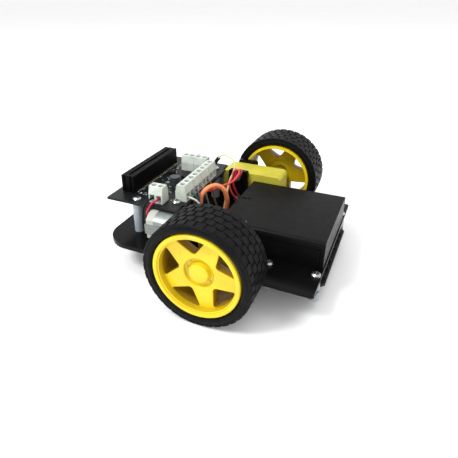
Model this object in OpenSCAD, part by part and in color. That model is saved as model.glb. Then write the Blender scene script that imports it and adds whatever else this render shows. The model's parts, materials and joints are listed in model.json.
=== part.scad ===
// Two-wheel-drive line follower robot, built as separate pieces.
// +X is the battery and sensor end, +Y is the left side, wheels and caster ball stand on z = 0.

/* [Wheels] */
// Outer diameter of the tyre
wheel_d = 65; // [64:0.5:66]
// Width of the tyre
tyre_w = 26; // [24:0.5:26]
// Overall width over both wheels
track_w = 168.8; // [168:0.2:176]
// Outer diameter of the rim, under the tyre
rim_d = 52; // [50:0.5:54]
// Number of spokes
spoke_n = 5; // [4:1:6]
// Angle of the first spoke
spoke_turn = 138; // [0:1:359]

/* [Deck] */
// Thickness of the acrylic sheet
sheet_t = 3; // [3:0.1:3.2]
// Width of the deck
deck_w = 115.6; // [112:0.2:116]
// Deck length ahead of the axle, towards the sensors
deck_front = 58.7; // [58:0.1:60]
// Deck length behind the axle
deck_back = 82; // [80:0.5:84]
// Corner radius at the back
deck_corner = 18; // [10:1:24]

/* [Drive] */
// Height of the gearbox
gear_h = 22.5; // [22.4:0.1:23]
// Thickness of the gearbox
gear_t = 18.5; // [18.4:0.1:18.8]
// Distance between the outer faces of the two gearboxes
gear_span = 104; // [104:0.2:105]
// Diameter of the output shaft
shaft_d = 5.4; // [5:0.1:5.5]
// Reach of the output shaft from the middle of the gearbox
shaft_reach = 18.5; // [18:0.1:19]
// Motor can diameter across the round sides
can_d = 20.1; // [19.5:0.1:20.2]

/* [Driver board] */
// Reach of the driver board behind the axle
driver_reach = 86; // [84:0.5:90]
// Width of the driver board
driver_w = 84; // [83:0.5:86]
// Length of the driver board
driver_len = 54.5; // [54:0.5:56]
// Height of the nylon spacers under the board
spacer_h = 21.4; // [21.3:0.1:24]
// Length of the edge connector
edge_len = 60; // [56:0.5:64]

/* [Battery box] */
// Length of the battery box
box_len = 66.2; // [66.2:0.1:67]
// Width of the battery box
box_w = 66.4; // [66:0.1:66.4]
// Height of the battery box
box_h = 18.2; // [18:0.1:18.4]

/* [Line sensor] */
// Reach of the sensor board ahead of the axle
sensor_reach = 60.5; // [60.5:0.1:63]
// Length of the spacers between deck and sensor board
sensor_gap = 6; // [5:0.5:7]
// Diameter of the caster ball
ball_d = 9.5; // [9:0.1:9.5]
// Reach of the caster ahead of the axle
caster_x = 36; // [34:0.5:38]

/* [Hidden] */
$fn = 48;

// ---- places, all measured from the axle and then moved to the middle of the model ----
axle = [(driver_reach - sensor_reach) / 2, 0, wheel_d / 2];
gear_y = (gear_span - gear_t) / 2;
deck_z = -gear_h / 2;
deck_low = deck_z - sheet_t;
board_z = deck_z + spacer_h;
board_t = 1.6;
board_top = board_z + board_t;
board_x0 = -driver_reach;
wheel_in = track_w / 2 - tyre_w;

// ---- fasteners ----
m3 = 3;
m3_hole = 3.2;
m3_head_d = 5.6;
m3_head_h = 2;
nut_d = 5.7;
nut_h = 2.2;
bolt_d = 2.5;
bolt_head_d = 4.9;
run_gap = 0.05;

// ---- gear train: teeth, modules and shaft places along X from the output shaft ----
out_teeth = 30;
out_mod = 0.55;
idler_pinion_teeth = 10;
idler_teeth = 30;
idler_mod = 0.5;
crown_pinion_teeth = 8;
crown_teeth = 34;
crown_mod = 0.35;
rotor_teeth = 8;
idler_x = -(out_teeth + idler_pinion_teeth) * out_mod / 2;
crown_x = idler_x - (idler_teeth + crown_pinion_teeth) * idler_mod / 2;
crown_r = crown_teeth * crown_mod / 2;
pin_d = 2;
wall = 2;
nose_x = -33.5;
can_x0 = -45.8;
can_x1 = -29.9;
cap_x0 = -50.8;
can_flat = 7.7;
mount_x = -20.6;
mount_z = 8.75;
tab_z = 6.5;

// ---- battery box ----
box_x1 = 58;
box_x0 = box_x1 - box_len;
skirt_h = 5;
lid_t = 1.8;
lid_top = 1.2;
lid_round = 2.5;
slide_gap = 0.3;
cell_d = 14.2;
cell_len = 50.5;
cell_pitch = 14.7;
bay_x0 = box_x0 + 9.5;

// ---- sensor board ----
sensor_top = deck_low - sensor_gap;
sensor_z = sensor_top - board_t;
bolt_places = [for (x = [27.4, 55.6], y = [-40, 40]) [x, y]];
spacer_places = [for (s = [-1, 1]) each [[-65.2, s * 37.4], [-39.3, s * 30.9]]];
case_places = [for (s = [-1, 1]) [25, s * cell_pitch]];
caster_places = [for (s = [-1, 1]) [caster_x, s * 8.4]];

// ======== helpers ========

// Extrude a shape drawn in XZ from y0 to y1
module slab_y(y0, y1) {
    translate([0, y1, 0]) rotate([90, 0, 0]) linear_extrude(height = y1 - y0) children();
}

// Extrude a shape drawn in (Y, Z) from x0 to x1
module slab_x(x0, x1) {
    translate([x0, 0, 0]) rotate([90, 0, 90]) linear_extrude(height = x1 - x0) children();
}

// Rectangle from two corners
module rect(x0, y0, x1, y1) {
    translate([x0, y0]) square([x1 - x0, y1 - y0]);
}

// Box from two corners
module block(a, b) {
    translate(a) cube(b - a);
}

// Rectangle with a radius on each end in X: r0 at x0, r1 at x1
module plate2d(x0, x1, half_w, r0, r1) {
    rect(x0 + r0, -half_w, x1 - r1, half_w);
    rect(x0, -half_w + r0, x0 + r0, half_w - r0);
    rect(x1 - r1, -half_w + r1, x1, half_w - r1);
    for (s = [-1, 1]) {
        translate([x0 + r0, s * (half_w - r0)]) circle(r0);
        translate([x1 - r1, s * (half_w - r1)]) circle(r1);
    }
}

module rod_x(x0, x1, d) {
    translate([x0, 0, 0]) rotate([0, 90, 0]) cylinder(h = x1 - x0, d = d);
}

module rod_y(y0, y1, d) {
    translate([0, y1, 0]) rotate([90, 0, 0]) cylinder(h = y1 - y0, d = d);
}

// Pan-head screw standing on z = 0 with its shank down
module pan_screw(len, d = m3, head_d = m3_head_d, head_h = m3_head_h) {
    difference() {
        union() {
            translate([0, 0, -len]) cylinder(h = len + 0.1, d = d);
            cylinder(h = head_h * 0.55, d = head_d);
            translate([0, 0, head_h * 0.55])
                cylinder(h = head_h * 0.45, d1 = head_d, d2 = head_d * 0.66);
        }
        for (a = [0, 90])
            rotate([0, 0, a])
                translate([-head_d * 0.3, -head_d * 0.06, head_h * 0.45])
                    cube([head_d * 0.6, head_d * 0.12, head_h]);
    }
}

module nut() {
    difference() {
        cylinder(h = nut_h, d = nut_d, $fn = 6);
        translate([0, 0, -1]) cylinder(h = nut_h + 2, d = bolt_d + 2 * run_gap);
    }
}

// Tube section swept along points, with flat ends
function unit(v) = v / norm(v);
function heading(p, i) =
    i == 0 ? unit(p[1] - p[0])
    : i == len(p) - 1 ? unit(p[i] - p[i - 1])
    : unit(unit(p[i] - p[i - 1]) + unit(p[i + 1] - p[i]));
function side(t) = unit(cross(t, abs(t[2]) > 0.9 ? [1, 0, 0] : [0, 0, 1]));
function carried(t, s) = unit(s - t * (s * t));
function frames(p, i = 0, s = undef) =
    i == len(p) ? []
    : let (t = heading(p, i), n = s == undef ? side(t) : carried(t, s))
      concat([[t, n]], frames(p, i + 1, n));
function spline_at(a, b, c, d, u) =
    0.5 * ((2 * b) + (c - a) * u + (2 * a - 5 * b + 4 * c - d) * u * u
    + (3 * b - a - 3 * c + d) * u * u * u);
function smooth_path(p, n = 3) = concat(
    [for (i = [0 : len(p) - 2], k = [0 : n - 1])
        spline_at(p[max(i - 1, 0)], p[i], p[i + 1], p[min(i + 2, len(p) - 1)], k / n)],
    [p[len(p) - 1]]);
module tube(route, d) {
    p = smooth_path(route);
    f = frames(p);
    m = 8;
    ring_points = [for (i = [0 : len(p) - 1], k = [0 : m - 1])
        let (n = f[i][1], b = cross(f[i][0], n), a = 360 * k / m)
        p[i] + d / 2 * (n * cos(a) + b * sin(a))];
    walls = [for (i = [0 : len(p) - 2], k = [0 : m - 1])
        let (a = i * m + k, b = i * m + (k + 1) % m)
        each [[a, a + m, b + m], [a, b + m, b]]];
    near_end = [[for (k = [0 : m - 1]) k]];
    far_end = [[for (k = [m - 1 : -1 : 0]) (len(p) - 1) * m + k]];
    polyhedron(points = ring_points, faces = concat(walls, near_end, far_end));
}

// Straight-sided tooth form: one tooth points along +X
module gear2d(teeth, mod, turn = 0) {
    r = teeth * mod / 2;
    tip = r + 0.7 * mod;
    root = r - 0.95 * mod;
    tip_half = 0.24 * mod / tip * 180 / PI;
    root_half = 0.72 * mod / r * 180 / PI;
    polygon([for (i = [0 : teeth - 1])
        let (a = turn + 360 * i / teeth)
        each [
            root * [cos(a - root_half), sin(a - root_half)],
            tip * [cos(a - tip_half), sin(a - tip_half)],
            tip * [cos(a + tip_half), sin(a + tip_half)],
            root * [cos(a + root_half), sin(a + root_half)]]]);
}

// Puts a left-hand drive part in place; side -1 mirrors it to the right
module drive(s) {
    translate(axle) mirror([0, s < 0 ? 1 : 0, 0]) translate([0, gear_y, 0]) children();
}

module both() {
    for (s = [-1, 1]) drive(s) children();
}

// ======== chassis ========

module chassis_deck() {
    color([0.05, 0.05, 0.06]) translate(axle) difference() {
        translate([0, 0, deck_low]) linear_extrude(height = sheet_t)
            plate2d(-deck_back, deck_front, deck_w / 2, deck_corner, 2);
        for (p = concat(bolt_places, spacer_places, case_places))
            translate([p[0], p[1], deck_low - 1]) cylinder(h = sheet_t + 2, d = m3_hole);
        for (s = [-1, 1], y = [gear_y - gear_t / 2 - sheet_t, gear_y + gear_t / 2])
            block([mount_x - 7.7, s > 0 ? y - 0.1 : -y - sheet_t - 0.1, deck_low - 1],
                  [mount_x + 7.7, s > 0 ? y + sheet_t + 0.1 : -y + 0.1, deck_z + 1]);
        // window for the battery switch, and a hole for the sensor wires
        block([box_x0 + 1, -24, deck_low - 1], [box_x0 + 9, -8, deck_z + 1]);
        translate([-24.5, 4.5, deck_low - 1]) cylinder(h = sheet_t + 2, d = 14);
    }
}

module bracket2d() {
    translate([mount_x, 0]) difference() {
        union() {
            rect(-7.5, deck_low, 7.5, 12);
            rect(-6, 11, 6, 13.5);
            for (s = [-1, 1]) translate([s * 6, 12]) circle(1.5);
            rect(-15.5, deck_low - 6, 15.5, deck_low);
        }
        for (s = [-1, 1]) translate([0, s * mount_z]) circle(d = m3_hole);
    }
}

module motor_brackets() {
    color([0.05, 0.05, 0.06]) both() {
        slab_y(-gear_t / 2 - sheet_t, -gear_t / 2) bracket2d();
        slab_y(gear_t / 2, gear_t / 2 + sheet_t) bracket2d();
    }
}

module motor_bolts() {
    color("silver") both() for (s = [-1, 1])
        translate([mount_x, gear_t / 2 + sheet_t, s * mount_z]) rotate([-90, 0, 0])
            pan_screw(28, bolt_d, bolt_head_d);
}

module motor_nuts() {
    color("silver") both() for (s = [-1, 1])
        translate([mount_x, -gear_t / 2 - sheet_t, s * mount_z]) rotate([90, 0, 0]) nut();
}

// ======== gear motor, drawn for the left side with +Y outwards ========

module shell2d() {
    rect(nose_x, 1.6 - gear_h / 2, 8, gear_h / 2 - 1.6);
    rect(nose_x + 1.6, -gear_h / 2, 8, gear_h / 2);
    for (s = [-1, 1]) translate([nose_x + 1.6, s * (gear_h / 2 - 1.6)]) circle(1.6);
    rect(8, -gear_h / 2 + 3.2, 11.2, gear_h / 2 - 3.2);
    for (s = [-1, 1]) translate([8, s * (gear_h / 2 - 3.2)]) circle(3.2);
}

shell_screw_places = [[-27.2, 7.4], [8, 8]];

module shell_bosses2d() {
    for (s = [-1, 1]) {
        translate([mount_x, s * mount_z]) circle(2.3);
        for (p = shell_screw_places) translate([p[0], s * p[1]]) circle(2.2);
    }
}

module can2d(d, flat) {
    intersection() {
        circle(d = d);
        rect(-flat, -d, flat, d);
    }
}

module shell_half(s) {
    difference() {
        slab_y(s > 0 ? 0 : -gear_t / 2, s > 0 ? gear_t / 2 : 0) shell2d();
        difference() {
            slab_y(s > 0 ? -1 : wall - gear_t / 2, s > 0 ? gear_t / 2 - wall : 1)
                rect(-27.9, wall - gear_h / 2, 9.2, gear_h / 2 - wall);
            slab_y(-gear_t, gear_t) shell_bosses2d();
        }
        slab_x(nose_x - 1, can_x1) can2d(can_d + 0.2, can_flat + 0.1);
        rod_x(can_x1 - 1, -27.4, 6.6);
        rod_y(0.8 - gear_t / 2, gear_t, shaft_d + 2 * run_gap);
        for (x = [idler_x, crown_x])
            translate([x, 0, 0]) rod_y(-gear_t / 2 + 1, gear_t / 2 - 1, pin_d);
        for (k = [-1, 1]) {
            translate([mount_x, 0, k * mount_z]) rod_y(-gear_t, gear_t, m3_hole);
            for (p = shell_screw_places) translate([p[0], 0, k * p[1]]) {
                rod_y(-gear_t / 2 + 3, gear_t, 1.6);
                rod_y(gear_t / 2 - 1.1, gear_t, 3.2);
            }
        }
    }
}

module gearbox_outer(s) {
    color([0.95, 0.85, 0.2]) drive(s) {
        shell_half(1);
        translate([-11.1, 0, 0]) rod_y(gear_t / 2 - 0.5, gear_t / 2 + 1.4, 3.8);
    }
}

module gearbox_inner(s) {
    color([0.95, 0.85, 0.2]) drive(s) shell_half(-1);
}

module output_shaft(s) {
    color("ivory") drive(s) {
        difference() {
            rod_y(1 - gear_t / 2, shaft_reach, shaft_d);
            for (k = [-1, 1])
                block([k > 0 ? 1.85 : -9, gear_t / 2 + 0.5, -9],
                      [k > 0 ? 9 : -1.85, shaft_reach + 1, 9]);
        }
        slab_y(3.2, 6.4) gear2d(out_teeth, out_mod);
    }
}

module idler_gear(s) {
    color("ivory") drive(s) translate([idler_x, 0, 0]) difference() {
        union() {
            slab_y(1, 2.6) gear2d(idler_teeth, idler_mod);
            slab_y(2.4, 6.4) gear2d(idler_pinion_teeth, out_mod, 18);
        }
        rod_y(-9, 9, pin_d + 2 * run_gap);
    }
}

module crown_gear(s) {
    color("ivory") drive(s) translate([crown_x, 0, 0]) difference() {
        union() {
            rod_y(-4, -1.95, 2 * crown_r + 0.5);
            slab_y(-2, 2.6) gear2d(crown_pinion_teeth, idler_mod, 22.5);
            for (i = [0 : crown_teeth - 1])
                rotate([0, 360 * i / crown_teeth, 0])
                    slab_x(crown_r - 0.6, crown_r + 0.22)
                        polygon([[-2, -0.27], [-1.15, -0.1], [-1.15, 0.1], [-2, 0.27]]);
        }
        rod_y(-9, 9, pin_d + 2 * run_gap);
    }
}

module gear_pins() {
    color("silver") both() for (x = [idler_x, crown_x])
        translate([x, 0, 0]) rod_y(-gear_t / 2 + 1, gear_t / 2 - 1, pin_d);
}

module gearbox_screws() {
    color("silver") both() for (k = [-1, 1], p = shell_screw_places)
        translate([p[0], gear_t / 2 - 1.1, k * p[1]]) rotate([-90, 0, 0])
            pan_screw(14, 1.6, 3, 1);
}

module motor_can(s) {
    color("silver") drive(s) difference() {
        union() {
            slab_x(can_x0, can_x1) can2d(can_d, can_flat);
            rod_x(can_x1 - 0.5, -28.2, 6.2);
        }
        slab_x(can_x0 - 1, can_x1 - 0.8) can2d(can_d - 1.6, can_flat - 0.8);
        rod_x(can_x0, 0, 2 + 2 * run_gap);
    }
}

module motor_rotor(s) {
    color("gray") drive(s) {
        rod_x(cap_x0 + 0.8, -25.1, 2);
        slab_x(-27.2, -25) rotate([0, 0, 22.5]) gear2d(rotor_teeth, crown_mod);
        slab_x(-43, -33.5) difference() {
            circle(d = 13);
            for (a = [90, 210, 330]) rotate([0, 0, a]) rect(3.5, -0.5, 7, 0.5);
        }
        rod_x(-45.4, -43.6, 5);
    }
}

module motor_magnets() {
    color([0.2, 0.2, 0.22]) both() for (k = [-1, 1])
        slab_x(-44, -32.5) intersection() {
            difference() {
                circle(d = can_d - 1.7);
                circle(d = 14.2);
            }
            rect(-5.5, k > 0 ? 0 : -20, 5.5, k > 0 ? 20 : 0);
        }
}

// One solder tab; k is -1 for the lower and 1 for the upper one
module tab_block(k) {
    block([cap_x0 - 2.6, -0.3, k * tab_z - 1.2], [cap_x0 + 2.5, 0.3, k * tab_z + 1.2]);
}

module motor_cap(s) {
    color([0.92, 0.91, 0.84]) drive(s) difference() {
        union() {
            slab_x(cap_x0, can_x0) can2d(can_d, can_flat);
            rod_x(cap_x0 - 0.6, cap_x0 + 1, 7);
        }
        rod_x(cap_x0 + 0.6, 0, 2 + 2 * run_gap);
        slab_x(cap_x0 + 2.5, 0) can2d(can_d - 4, can_flat - 2);
        for (k = [-1, 1]) tab_block(k);
    }
}

module motor_tabs() {
    color("goldenrod") both() for (k = [-1, 1])
        difference() {
            tab_block(k);
            translate([cap_x0 - 1.2, 0, k * tab_z]) rod_y(-1, 1, 0.8);
        }
}

module motor_straps() {
    color([0.9, 0.92, 0.9]) both() difference() {
        block([cap_x0 - 1.1, -can_flat - 0.4, -3.4], [nose_x - 0.2, can_flat + 0.4, 3.4]);
        block([cap_x0 - 0.7, -can_flat - 0.05, -4], [nose_x + 1, can_flat + 0.05, 4]);
    }
}

// ======== wheels ========

module rim(s) {
    r = rim_d / 2;
    face = wheel_in - gear_y;
    web0 = face + tyre_w - 8;
    web1 = face + tyre_w - 4.5;
    color([0.98, 0.85, 0.1]) drive(s) difference() {
        union() {
            difference() {
                rod_y(face, face + tyre_w, rim_d);
                rod_y(face - 1, face + tyre_w + 1, rim_d - 4.4);
            }
            slab_y(web0, web1) difference() {
                circle(r - 1);
                for (i = [0 : spoke_n - 1]) rotate(spoke_turn + (i + 0.5) * 360 / spoke_n)
                    polygon([[11.5, 0], [22, -11.4], [24.3, -8], [25.1, 0], [24.3, 8],
                             [22, 11.4]]);
            }
            rod_y(face - 5, web1, 10);
            rod_y(web0, face + tyre_w - 3, 13);
        }
        slab_y(face - 6, face + 5) intersection() {
            circle(d = shaft_d + 0.1);
            rect(-1.9, -5, 1.9, 5);
        }
    }
}

module tyre(s) {
    r = wheel_d / 2;
    h = tyre_w / 2;
    color([0.06, 0.06, 0.065]) drive(s)
        translate([0, wheel_in - gear_y + h, 0]) rotate([90, 0, 0]) rotate_extrude($fn = 96)
            difference() {
                union() {
                    rect(rim_d / 2, -h, r - 2.5, h);
                    rect(r - 3, -h + 2.5, r, h - 2.5);
                    for (k = [-1, 1]) translate([r - 2.5, k * (h - 2.5)]) circle(2.5);
                }
                for (k = [-1, 1]) translate([rim_d / 2 + 2.6, k * (h + 4.7)]) circle(5.4);
            }
}

// ======== driver board ========

module on_board(x, y) {
    translate(axle + [x, y, board_top]) children();
}

module driver_board() {
    right = board_x0 + driver_len;
    shoulder = nose_x - 0.3;
    color([0.06, 0.07, 0.07]) translate(axle) difference() {
        translate([0, 0, board_z]) linear_extrude(height = board_t) union() {
            rect(board_x0, -driver_w / 2, shoulder, driver_w / 2);
            rect(shoulder - 1, -32.4, right, 32.4);
        }
        for (p = spacer_places)
            translate([p[0], p[1], board_z - 1]) cylinder(h = board_t + 2, d = m3_hole);
    }
}

// Slotted socket that a controller board plugs into, open at the top
module edge_connector() {
    color([0.04, 0.04, 0.05]) on_board(board_x0 + 9.2, 0) difference() {
        block([-4.8, -edge_len / 2, 0], [4.8, edge_len / 2, 12]);
        block([-0.9, -edge_len / 2 + 3, 3], [0.9, edge_len / 2 - 3, 13]);
        for (s = [-1, 1], x = [-3, 1.8])
            block([x, s > 0 ? edge_len / 2 - 0.8 : -edge_len / 2 - 1, 1],
                  [x + 1.2, s > 0 ? edge_len / 2 + 1 : -edge_len / 2 + 0.8, 13]);
    }
}

module edge_contacts() {
    color("gold") on_board(board_x0 + 9.2, 0) for (i = [0 : 19], s = [-1, 1])
        translate([s * 5.3, -edge_len / 2 + 4.2 + i * (edge_len - 8.4) / 19, 0])
            block([-0.4, -0.3, 0], [0.4, 0.3, 1]);
}

// Two-way clamp terminal block, wire entries facing -Y
module terminal(w, depth = 8, h = 11.3) {
    half = depth / 2;
    difference() {
        translate([-w / 2, 0, 0]) rotate([90, 0, 90]) linear_extrude(height = w)
            polygon([[-half, 0], [-half, h * 0.55], [-half * 0.7, h], [half * 0.7, h],
                     [half, h * 0.55], [half, 0]]);
        for (s = [-1, 1]) {
            translate([s * w / 4, -0.3, h - 3]) cylinder(h = 4, d = 3.8);
            block([s * w / 4 - w * 0.17, -half - 1, 1.2],
                  [s * w / 4 + w * 0.17, -half + 4.5, h * 0.5]);
        }
    }
}

module terminal_screw(w, depth = 8, h = 11.3) {
    for (s = [-1, 1]) translate([s * w / 4, -0.3, h - 3]) difference() {
        cylinder(h = 1.6, d = 3.4);
        block([-1.8, -0.3, 0.9], [1.8, 0.3, 2]);
    }
}

near_w = 10;
row_w = 11.4;
row_pitch = 12;
near_spot = [-51.2, -33];
far_spots = [[-57, 23], [-46.8, 23]];
row_spots = [for (i = [0 : 3]) [-37.5, -22.2 + i * row_pitch]];

module power_terminals() {
    color([0.78, 0.82, 0.79]) {
        on_board(near_spot[0], near_spot[1]) terminal(near_w);
        for (p = far_spots) on_board(p[0], p[1]) rotate([0, 0, 180]) terminal(near_w);
    }
}

module signal_terminals() {
    color([0.78, 0.82, 0.79]) for (p = row_spots)
        on_board(p[0], p[1]) rotate([0, 0, 90]) terminal(row_w);
}

module terminal_screws() {
    color("silver") {
        on_board(near_spot[0], near_spot[1]) terminal_screw(near_w);
        for (p = far_spots) on_board(p[0], p[1]) rotate([0, 0, 180]) terminal_screw(near_w);
        for (p = row_spots) on_board(p[0], p[1]) rotate([0, 0, 90]) terminal_screw(row_w);
    }
}

module reservoir_capacitor() {
    color([0.25, 0.25, 0.27]) on_board(-54, -6) {
        cylinder(h = 1, d = 7.6);
        translate([0, 0, 0.8]) cylinder(h = 5.2, d = 7.2);
    }
}

// Driver chip, regulator, small passives and the pin header for jumper plugs
module board_parts() {
    color([0.08, 0.08, 0.09]) {
        on_board(-51, 10) block([-4, -5, 0], [4, 5, 1.6]);
        on_board(-64, -18) block([-3, -3.2, 0], [3, 3.2, 1.6]);
        on_board(-64, 8) block([-2, -2, 0], [2, 2, 3]);
        for (i = [0 : 4]) on_board(-66, -8 + 3 * i) block([-1, -0.6, 0], [1, 0.6, 0.6]);
        for (i = [0 : 3]) on_board(-46, -17 + 3 * i) block([-0.6, -1, 0], [0.6, 1, 0.6]);
        on_board(-40.2, 24) block([-1.3, -1.4, 0], [1.3, 3.6, 2.5]);
    }
}

module board_spacers() {
    color([0.75, 0.76, 0.8]) translate(axle) for (p = spacer_places)
        translate([p[0], p[1], deck_z]) difference() {
            cylinder(h = spacer_h, d = 6.5);
            translate([0, 0, -1]) cylinder(h = spacer_h + 2, d = 2.6);
        }
}

module board_screws() {
    color("silver") translate(axle) for (p = spacer_places) translate([p[0], p[1], 0]) {
        translate([0, 0, board_top]) pan_screw(8, 2.6);
        translate([0, 0, deck_low]) mirror([0, 0, 1]) pan_screw(10, 2.6);
    }
}

// ======== battery box ========

module at_box() {
    translate(axle + [0, 0, deck_z]) children();
}

module battery_case() {
    half = box_w / 2;
    rail = half - lid_t - slide_gap;
    top = box_h - lid_top - slide_gap;
    low = box_h - skirt_h - slide_gap;
    end = box_x1 - 2.2 - slide_gap;
    color([0.05, 0.05, 0.055]) at_box() difference() {
        union() {
            block([box_x0, -half, 0], [end, half, low]);
            block([box_x0, -rail, 0], [end, rail, top]);
        }
        // switch bay, cell bay and the gap between them for the contacts
        block([box_x0 + 1.6, -rail + 1.6, 1.6], [box_x0 + 8.3, rail - 1.6, top + 1]);
        block([bay_x0, -rail + 1.2, 1.2], [end - 1.2, rail - 1.2, top + 1]);
        // slot that the switch knob looks through
        block([box_x0 + 3.4, -20.4, -1], [box_x0 + 6.6, -11.6, 3]);
        for (p = case_places) translate([p[0], p[1], -1]) cylinder(h = 4, d = m3_hole);
        translate([0, 18, 5]) rod_x(box_x0 - 1, box_x0 + 3, 2);
        translate([0, 22, 5]) rod_x(box_x0 - 1, bay_x0 + 1, 2);
    }
}

module lid2d(half, top, r) {
    rect(-half, box_h - skirt_h, half, top - r);
    rect(-half + r, box_h - skirt_h, half - r, top);
    for (s = [-1, 1]) translate([s * (half - r), top - r]) circle(r);
}

module battery_lid() {
    half = box_w / 2;
    color([0.05, 0.05, 0.055]) at_box() difference() {
        union() {
            slab_x(box_x0, box_x1) difference() {
                lid2d(half, box_h, lid_round);
                rect(-half + lid_t, box_h - skirt_h - 1, half - lid_t, box_h - lid_top);
            }
            block([box_x1 - 2.2, -half + lid_t - 0.5, 0.4],
                  [box_x1, half - lid_t + 0.5, box_h - 1]);
            block([box_x1 - 2.2, -half, 0.4], [box_x1, half, box_h - skirt_h + 0.5]);
        }
        // pair of curved thumb notches near the open end
        for (x = [2.6, 6.2]) translate([box_x0 + x, 1.6, box_h - 0.7]) difference() {
            cylinder(h = 2, r = 1.9);
            translate([0, -0.2, -1]) cylinder(h = 4, r = 1.2);
            block([-3, -3, -1], [3, -0.4, 4]);
        }
    }
}

cell_y = [for (i = [0 : 3]) (i - 1.5) * cell_pitch];

module battery_cells() {
    color([0.3, 0.35, 0.4]) at_box() for (i = [0 : 3]) {
        flip = i % 2;
        translate([bay_x0 + 1.3 + cell_len / 2, cell_y[i], 1.4 + cell_d / 2])
            mirror([flip, 0, 0]) {
                rod_x(-cell_len / 2, cell_len / 2 - 1.2, cell_d);
                rod_x(cell_len / 2 - 1.3, cell_len / 2, 5.4);
            }
    }
}

module battery_contacts() {
    color("silver") at_box() for (i = [0 : 3], e = [0, 1]) {
        spring = (i % 2) == e;
        x = e == 0 ? bay_x0 : bay_x0 + cell_len + 1.9;
        translate([0, cell_y[i], 1.4 + cell_d / 2]) {
            block([x + (e == 0 ? 0 : 0.1), -5, -5], [x + (e == 0 ? 0.4 : 0.5), 5, 5]);
            if (!spring) translate([x + (e == 0 ? 0.4 : -0.1), 0, 0]) rod_x(0, 0.2, 4);
            if (spring) translate([x + (e == 0 ? 0.3 : -0.1), 0, 0])
                difference() {
                    rod_x(0, e == 0 ? 1 : 0.3, 8);
                    rod_x(-1, 2, 6);
                }
        }
    }
}

module switch_body() {
    color([0.12, 0.12, 0.13]) at_box() difference() {
        block([box_x0 + 1.9, -22, 1.6], [box_x0 + 8.1, -10, 6.5]);
        block([box_x0 + 3.2, -20.6, 0], [box_x0 + 6.8, -11.4, 4.6]);
    }
}

module switch_slider() {
    color("white") at_box() union() {
        block([box_x0 + 3.7, -20, -2], [box_x0 + 6.3, -16.4, 2]);
        block([box_x0 + 3.5, -20.3, 1.9], [box_x0 + 6.5, -15.4, 4.2]);
    }
}

module case_screws() {
    color("silver") at_box() for (p = case_places) translate([p[0], p[1], 0]) {
        translate([0, 0, -sheet_t]) mirror([0, 0, 1]) pan_screw(4.4);
    }
}

// ======== line sensor ========

module sensor_board() {
    color([0.06, 0.07, 0.07]) translate(axle) difference() {
        translate([0, 0, sensor_z]) linear_extrude(height = board_t) polygon([
            [22, -45], [57.8, -45], [57.8, -36], [sensor_reach, -33],
            [sensor_reach, 33], [57.8, 36], [57.8, 45], [22, 45]]);
        for (p = bolt_places)
            translate([p[0], p[1], sensor_z - 1]) cylinder(h = board_t + 2, d = m3_hole);
        for (p = caster_places)
            translate([p[0], p[1], sensor_z - 1]) cylinder(h = board_t + 2, d = 2.2);
    }
}

// Three reflective sensors below the board, and small parts on its front edge
module line_sensors() {
    color([0.1, 0.1, 0.12]) translate(axle) {
        for (y = [-20, 0, 20]) translate([52, y, sensor_z - 5.5]) difference() {
            block([-3, -5, 0], [3, 5, 5.5]);
            for (k = [-2.2, 2.2]) translate([0, k, -1]) cylinder(h = 3, d = 3);
        }
        for (y = [-27, -17, -8, 8, 19, 27])
            translate([sensor_reach - 2.2, y, sensor_top]) block([-1, -1.6, 0], [1, 1.6, 1]);
        translate([sensor_reach - 4, 0, sensor_top]) block([-2.6, -4, 0], [1, 4, 3.9]);
    }
}

module sensor_bolts() {
    color("silver") translate(axle) for (p = bolt_places)
        translate([p[0], p[1], deck_z]) pan_screw(16);
}

module sensor_spacers() {
    color([0.75, 0.76, 0.8]) translate(axle) for (p = bolt_places)
        translate([p[0], p[1], sensor_top]) difference() {
            cylinder(h = sensor_gap, d = 6);
            translate([0, 0, -1]) cylinder(h = sensor_gap + 2, d = m3_hole);
        }
}

// Round nylon standoffs that thread onto the bolts and clamp the board
module standoff_nuts() {
    color([0.8, 0.81, 0.84]) translate(axle) for (p = bolt_places)
        translate([p[0], p[1], sensor_z - 6.4]) difference() {
            union() {
                cylinder(h = 0.6, d1 = 5, d2 = 6.2);
                translate([0, 0, 0.6]) cylinder(h = 5.8, d = 6.2);
            }
            translate([0, 0, 0.8]) cylinder(h = 20, d = m3);
        }
}

// ======== ball caster under the middle of the sensor board ========

ball_z = (ball_d - wheel_d) / 2;

module caster_housing() {
    color([0.06, 0.06, 0.07]) translate(axle + [caster_x, 0, 0]) difference() {
        union() {
            translate([0, 0, ball_z - 1.9]) cylinder(h = sensor_z - ball_z + 1.9, d = 12.4);
            translate([0, 0, sensor_z - 1.8]) linear_extrude(height = 1.8) {
                rect(-2.6, -8.4, 2.6, 8.4);
                for (s = [-1, 1]) translate([0, s * 8.4]) circle(2.6);
            }
        }
        translate([0, 0, ball_z]) sphere(d = ball_d + 0.3);
        for (s = [-1, 1]) translate([0, s * 8.4, sensor_z - 3]) cylinder(h = 5, d = 1.6);
    }
}

module caster_ball() {
    color("silver") translate(axle + [caster_x, 0, ball_z]) sphere(d = ball_d);
}

module caster_screws() {
    color("silver") translate(axle) for (p = caster_places)
        translate([p[0], p[1], sensor_top]) pan_screw(4.6, 1.6, 3, 1);
}

// ======== wires: routes are measured from the axle ========

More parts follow.
